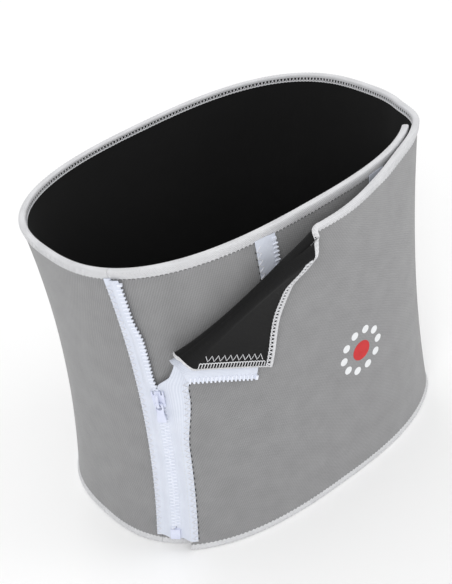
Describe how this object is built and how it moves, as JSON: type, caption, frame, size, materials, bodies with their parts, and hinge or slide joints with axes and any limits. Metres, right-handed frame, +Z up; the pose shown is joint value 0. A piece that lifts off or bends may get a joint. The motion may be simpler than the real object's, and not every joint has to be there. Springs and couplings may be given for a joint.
{
  "type": "lumbar support belt",
  "caption": "Neoprene waist support belt standing closed as a ring, with a zip-fastened front flap, spare toothed size tapes and the flap's corner turned back.",
  "frame": {"origin": "centre of the belt's footprint, on the surface that it stands on", "axes": "+Z up, -Y to the front of the wearer, +X to the wearer's left"},
  "size_m": [0.333, 0.2924, 0.2839],
  "materials": {
    "jersey": "knitted jersey",
    "foam": "neoprene foam",
    "lining": "smooth lining",
    "binding": "knitted tape",
    "tape": "woven tape",
    "teeth": "moulded",
    "enamel": "enamelled"
  },
  "bodies": {
    "wrap": {"wrap_lining": "lining", "wrap_core": "foam", "wrap_face": "jersey", "wrap_top_binding": "binding", "wrap_bottom_binding": "binding", "underlay_lining": "lining", "underlay_core": "foam", "underlay_face": "jersey", "underlay_top_binding": "binding", "underlay_bottom_binding": "binding", "underlay_end_binding": "binding", "size_tape_1": "tape", "size_teeth_1": "teeth", "size_top_stop_1": "teeth", "size_pin_1": "teeth", "size_tape_2": "tape", "size_teeth_2": "teeth", "size_top_stop_2": "teeth", "size_pin_2": "teeth", "size_tape_3": "tape", "size_teeth_3": "teeth", "size_top_stop_3": "teeth", "size_pin_3": "teeth", "flap_tape": "tape", "flap_teeth": "teeth", "retainer_box": "enamel"},
    "fold": {"fold_lining": "lining", "fold_core": "foam", "fold_face": "jersey", "fold_binding": "binding"},
    "corner": {"corner_lining": "lining", "corner_core": "foam", "corner_face": "jersey", "corner_binding": "binding", "corner_tape": "tape", "corner_teeth": "teeth", "corner_top_stop": "teeth"},
    "slider": {"slider_body": "enamel", "slider_lower_plate": "enamel"},
    "pull": {"pull_tab": "enamel"}
  },
  "joints": [
    {"name": "fold_hinge", "type": "hinge", "parent": "wrap", "child": "fold", "pos_m": [-0.09816, -0.10231, 0.2184], "axis": [0.7727, -0.3136, 0.5519], "range_deg": [-96, 0]},
    {"name": "corner_hinge", "type": "hinge", "parent": "fold", "child": "corner", "pos_m": [-0.10763, -0.1049, 0.21415], "axis": [0.7954, -0.3146, 0.518], "range_deg": [-96, 0]},
    {"name": "slider_track", "type": "hinge", "parent": "wrap", "child": "slider", "pos_m": [-1.09179, -0.02263, 0.15649], "axis": [-0.0436, -0.9971, -0.0623], "range_deg": [-7.6, 0]},
    {"name": "pull_hinge", "type": "hinge", "parent": "slider", "child": "pull", "pos_m": [-0.13571, -0.06706, 0.15663], "axis": [-0.6425, 0.765, 0.0435], "range_deg": [0, 140]}
  ],
  "couplings": [
    {"joint": "corner_hinge", "follows": "fold_hinge", "ratio": 1}
  ]
}
